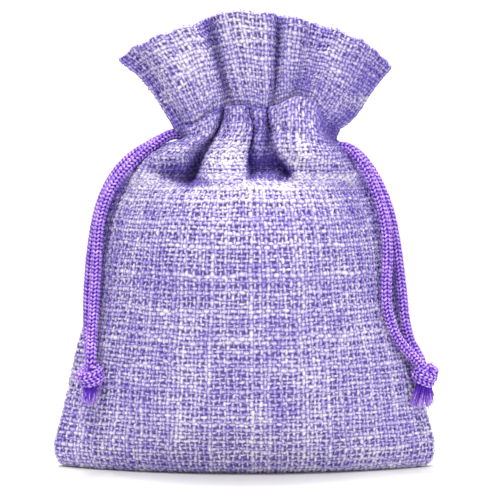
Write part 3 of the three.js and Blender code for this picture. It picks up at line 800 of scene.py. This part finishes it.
# Each yarn is laid flat as one strip of the map that colours are baked on, opened along one of the
# six corners of its section, with a little of the strip left free.
STRIP = 0.46
corner = node(weave, STORED, {"Name": "corner"}, data_type="FLOAT_VECTOR")
middle = node(weave, "GeometryNodeFieldOnDomain", {"Value": corner},
              data_type="FLOAT_VECTOR", domain="FACE")
turned = node(weave, VECTOR, {0: middle, 1: corner}, operation="CROSS_PRODUCT")
turned = node(weave, "ShaderNodeSeparateXYZ", {0: turned}).outputs[2]
turned = node(weave, MATH, {0: turned}, operation="SIGN")
middle = node(weave, "ShaderNodeSeparateXYZ", {0: middle}).outputs
angle = node(weave, MATH, {0: middle[1], 1: middle[0]}, operation="ARCTAN2")
angle = node(weave, MATH, {0: turned, 1: math.pi / 6, 2: angle}, operation="MULTIPLY_ADD")
angle = node(weave, MATH, {0: angle, 1: STRIP / math.pi, 2: 0.5}, operation="MULTIPLY_ADD")
yarn_at = node(weave, STORED, {"Name": "yarn"}, data_type="FLOAT")
band = node(weave, MATH, {0: yarn_at, 1: angle}, operation="ADD")
band = node(weave, MATH, {0: band, 1: yarns}, operation="DIVIDE")
along_at = node(weave, STORED, {"Name": "along"}, data_type="FLOAT")
strip_at = node(weave, XYZ, {"X": along_at, "Y": band})
mapped = node(weave, STORE, {"Geometry": spun, "Name": "OFBake", "Value": strip_at},
              data_type="FLOAT2", domain="CORNER")
end_tree(weave, mapped, finish)

# Space-dyed slub yarn: pale, nearly white fibres and violet dye, matt all over. The colour is
# painted paler where a yarn rides over another, as painted highlight, and violet where it dives
# under and towards its sides, as painted shade; the tone also carries the painted shade of the
# folds. The dye's blotches are about 8 mm wide. Single fibres are too fine to show, so their noise
# is drawn 0.3 mm wide.
BLOTCHES, FIBRES = 130.0, 3200.0
slub, tree, shader = new_material("slub linen yarn", {
    "Roughness": 0.85, "Specular IOR Level": 0.10})
tone_in = node(tree, "ShaderNodeAttribute", attribute_name="tone").outputs["Fac"]
painted_shade_in = node(tree, "ShaderNodeAttribute", attribute_name="painted_shade").outputs["Fac"]
painted_side_shade = node(tree, "ShaderNodeAttribute", attribute_name="corner").outputs["Vector"]
painted_side_shade = node(tree, "ShaderNodeSeparateXYZ", {0: painted_side_shade}).outputs["Y"]
painted_side_shade = node(tree, MATH, {0: painted_side_shade}, operation="ABSOLUTE")
where = node(tree, "ShaderNodeTexCoord").outputs["Object"]
blotch = node(tree, NOISE, {"Vector": where, "Scale": BLOTCHES, "Detail": 3.0}).outputs["Fac"]
fibre = node(tree, NOISE, {"Vector": where, "Scale": FIBRES, "Detail": 2.0}).outputs["Fac"]
# Painted shade: darker towards each yarn's sides and where it dives under, paler where it rides
# over.
blend_in = -0.27
for source, share in (
    (tone_in, 0.76), (painted_shade_in, 0.12), (blotch, 0.40), (fibre, 0.62), (painted_side_shade, -0.95),
):
    blend_in = node(tree, MATH, {0: source, 1: share, 2: blend_in}, operation="MULTIPLY_ADD")
ramp = node(tree, "ShaderNodeValToRGB", {"Fac": blend_in})
dark, light = ramp.color_ramp.elements
dark.position, dark.color = 0.18, linear("#6c5aae")
light.position, light.color = 0.86, linear("#dfdadd")
ramp.color_ramp.elements.new(0.46).color = linear("#9a90bf")
tree.links.new(ramp.outputs["Color"], shader.inputs["Base Color"])
hairy = node(tree, "ShaderNodeBump", {"Strength": 0.35, "Distance": 0.0001, "Height": fibre})
tree.links.new(hairy.outputs[0], shader.inputs["Normal"])

# Linen fuzz and painted gap shade: loose violet fibres that fill the gaps between yarns, coloured
# darker than the yarns as painted shade in the gaps, in tufts about 0.7 mm wide, so no gap is quite
# as dark as the next. The painted shade of the folds darkens or pales it as well.
TUFTS = 1500.0
ground, tree, shader = new_material("linen fuzz and painted gap shade", {"Roughness": 0.95, "Specular IOR Level": 0.05})
where = node(tree, "ShaderNodeTexCoord").outputs["Object"]
fuzz = node(tree, NOISE, {"Vector": where, "Scale": TUFTS, "Detail": 3.0}).outputs["Fac"]
fold_shade_in = node(tree, "ShaderNodeAttribute", attribute_name="painted_fold_shade").outputs["Fac"]
# The painted shade of the folds, as on the yarns.
fuzz = node(tree, MATH, {0: fold_shade_in, 1: 0.30, 2: fuzz}, operation="MULTIPLY_ADD")
ramp = node(tree, "ShaderNodeValToRGB", {"Fac": fuzz})
dark, light = ramp.color_ramp.elements
dark.position, dark.color = 0.25, linear("#5a48a0")
light.position, light.color = 0.75, linear("#a197c5")
tree.links.new(ramp.outputs["Color"], shader.inputs["Base Color"])

# The yarns of each cloth are four pieces, parted at the shoulder, and the lower ones are attached
# to the pouch. The fuzz is the cloth itself, just under the yarns.
WARPS = 88
PITCH = 0.80
YARN_SIZES = {"Yarn width": 0.00074, "Yarn thickness": 0.00040, "Crimp": 0.00017, "Slub": 1.4}
SHOULDER = 45
GROUND_DEPTH = 0.15
cloths = {}
for word, side in (("front", -1), ("back", 1)):
    grid = cloth_grid(side)
    grid = lumps(grid, side, facing_out(grid, side))
    out = facing_out(grid, side)
    base, run = sheet_object(f"{word}_cloth", grid, out, side, ground)
    wefts = int(round(run[-1] / PITCH))
    z_at = np.interp(np.arange(wefts + 1) / wefts * run[-1], run, grid[:, COLUMNS // 2, 2])
    split = int(np.argmax(z_at > SHOULDER))
    grown = []
    for upright, label, low, high in (
        (True, "warp_lower", 0, split), (True, "warp_upper", split, wefts),
        (False, "weft_lower", 0, split), (False, "weft_upper", split, wefts),
    ):
        warp_part = (WARPS, 0, WARPS)
        weft_part = (high - low, low, wefts)
        own, other = (warp_part, weft_part) if upright else (weft_part, warp_part)
        grown.append(grow(f"{word}_{label}_yarns", base, weave, {
            **YARN_SIZES, "Upright": upright, "Seed": 1 if upright else 2, "Material": slub,
            **dict(zip(("Yarns", "First yarn", "All yarns"), own)),
            **dict(zip(("Crossings", "First crossing", "All crossings"), other))}, keep_base=True))
    base.data.vertices.foreach_set("co", ((grid - out * GROUND_DEPTH) * 0.001).ravel())
    for piece in (*grown, base):
        if "_lower_" in piece.name:
            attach(piece, "pouch")
        else:
            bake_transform(piece)
    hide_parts(f"{word}_panel", f"{word}_casing", f"{word}_frill")
    cloths[word] = (grid, out)


# Casing stitches: one row of running stitch in thread of the same violet, through both layers of
# the hem, that closes the tunnel for the cords at its lower side.
sewing, (seam, stitch_length, spacing, thread_radius, finish) = new_tree("running stitch", {
    "Stitch length": "Float", "Stitch spacing": "Float", "Thread radius": "Float",
    "Material": "Material",
})
sewn_at = node(sewing, "GeometryNodeCurveToPoints", {
    "Curve": seam, "Length": spacing}, mode="LENGTH").outputs
bead = node(sewing, "GeometryNodeMeshUVSphere", {"Segments": 8, "Rings": 5, "Radius": 1.0})
half = node(sewing, MATH, {0: stitch_length, 1: 0.5}, operation="MULTIPLY")
shape = node(sewing, XYZ, {"X": thread_radius, "Y": thread_radius, "Z": half})
sewn = node(sewing, "GeometryNodeInstanceOnPoints", {
    "Points": sewn_at["Points"], "Instance": bead,
    "Rotation": sewn_at["Rotation"], "Scale": shape})
end_tree(sewing, sewn, finish)

# Spun sewing thread: twisted plies give light and dark ticks about 0.4 mm long on each stitch, a
# little shiny, darker than the pale yarns it sinks between.
TICKS = 2500.0
thread, tree, shader = new_material("spun sewing thread", {"Roughness": 0.6, "Sheen Weight": 0.1})
where = node(tree, "ShaderNodeTexCoord").outputs["Object"]
ply = node(tree, NOISE, {"Vector": where, "Scale": TICKS, "Detail": 2.0}).outputs["Fac"]
ramp = node(tree, "ShaderNodeValToRGB", {"Fac": ply})
dark, light = ramp.color_ramp.elements
dark.position, dark.color = 0.35, linear("#7668b4")
light.position, light.color = 0.65, linear("#a094d2")
tree.links.new(ramp.outputs["Color"], shader.inputs["Base Color"])
twist = node(tree, "ShaderNodeBump", {"Strength": 0.3, "Distance": 0.00005, "Height": ply})
tree.links.new(twist.outputs[0], shader.inputs["Normal"])
STITCH_HEIGHT, STITCH_PROUD, SEAM_COLUMNS = 54.4, 0.24, 5
for word, (grid, out) in cloths.items():
    row = int(np.argmax(grid[:, COLUMNS // 2, 2] > STITCH_HEIGHT))
    seam = (grid[row] + out[row] * STITCH_PROUD)[SEAM_COLUMNS:-SEAM_COLUMNS] * 0.001
    stitches = grow(f"{word}_stitches", line_object("seam", seam), sewing, {
        "Stitch length": 0.0019, "Stitch spacing": 0.0027, "Thread radius": 0.00014,
        "Material": thread})
    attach(stitches, "pouch")
    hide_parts(f"{word}_casing_stitch")


# Lavender: dried flower buds that fill the pouch up to the shoulder, loose enough to settle flat.
# Only the outer buds are made, on one soft body.
scatter, (body, density, bud_length, seed, finish) = new_tree("dried buds", {
    "Buds": "Float", "Bud length": "Float", "Seed": "Int", "Material": "Material",
})
strewn = node(scatter, "GeometryNodeDistributePointsOnFaces", {
    "Mesh": body, "Density": density, "Seed": seed}).outputs["Points"]
bud = node(scatter, "GeometryNodeMeshUVSphere", {"Segments": 6, "Rings": 4, "Radius": 0.5})
bud = node(scatter, "GeometryNodeTransform", {"Geometry": bud, "Scale": (0.42, 0.42, 1.0)})
tip_over = node(scatter, RANDOM, {
    0: (0.0, 0.0, 0.0), 1: (6.2, 6.2, 6.2), "Seed": seed}, data_type="FLOAT_VECTOR")
buds = node(scatter, "GeometryNodeInstanceOnPoints", {
    "Points": strewn, "Instance": bud, "Rotation": tip_over, "Scale": bud_length})
both = node(scatter, "GeometryNodeJoinGeometry")
scatter.links.new(body, both.inputs[0])
scatter.links.new(buds.outputs[0], both.inputs[0])
end_tree(scatter, both, finish)

# Dried lavender: dusty blue-violet buds and grey-brown calyx, in patches about 2.4 mm wide, a
# little less than the length of a bud.
PATCHES = 420.0
lavender, tree, shader = new_material("dried lavender", {"Roughness": 0.9})
where = node(tree, "ShaderNodeTexCoord").outputs["Object"]
patch = node(tree, NOISE, {"Vector": where, "Scale": PATCHES, "Detail": 2.0}).outputs["Fac"]
ramp = node(tree, "ShaderNodeValToRGB", {"Fac": patch})
dark, light = ramp.color_ramp.elements
dark.position, dark.color = 0.35, linear("#5d5470")
light.position, light.color = 0.65, linear("#8478b4")
tree.links.new(ramp.outputs["Color"], shader.inputs["Base Color"])
FILL_FOOT, FILL_LOW, FILL_HIGH, FILL_TOP = 2.2, 2.4, 49.8, 50.6
FREE_SIDE, FREE_DEPTH = 4.6, 2.6
LEVELS, AROUND = 26, 40
half, depth, height = profile_lines()
turn = np.arange(AROUND) * 2 * np.pi / AROUND
belly = np.sign(np.sin(turn)) * np.abs(np.sin(turn)) ** 1.6
rings = []
for level in np.linspace(FILL_LOW, FILL_HIGH, LEVELS):
    narrow = 1 - 0.25 * ease(level, 44, 50)
    wide = (np.interp(level, height, half) - FREE_SIDE) * narrow
    deep = (np.interp(level, height, depth) - FREE_DEPTH) * narrow
    rings.append(np.c_[wide * np.cos(turn), deep * belly, np.full(AROUND, level)])
points = np.vstack([*rings, [(0, 0, FILL_FOOT)], [(0, 0, FILL_TOP)]]) * 0.001
foot, top = len(points) - 2, len(points) - 1
following = [(k, (k + 1) % AROUND) for k in range(AROUND)]
faces = [(r + a, r + b, r + AROUND + b, r + AROUND + a)
         for r in range(0, (LEVELS - 1) * AROUND, AROUND) for a, b in following]
faces += [(b, a, foot) for a, b in following]
faces += [(foot - AROUND + a, foot - AROUND + b, top) for a, b in following]
filling = grow("lavender_buds", mesh_object("fill", points, faces, lavender), scatter, {
    "Buds": 110000.0, "Bud length": 0.0030, "Seed": 4, "Material": lavender})
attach(filling, "pouch")
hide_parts("lavender_filling")
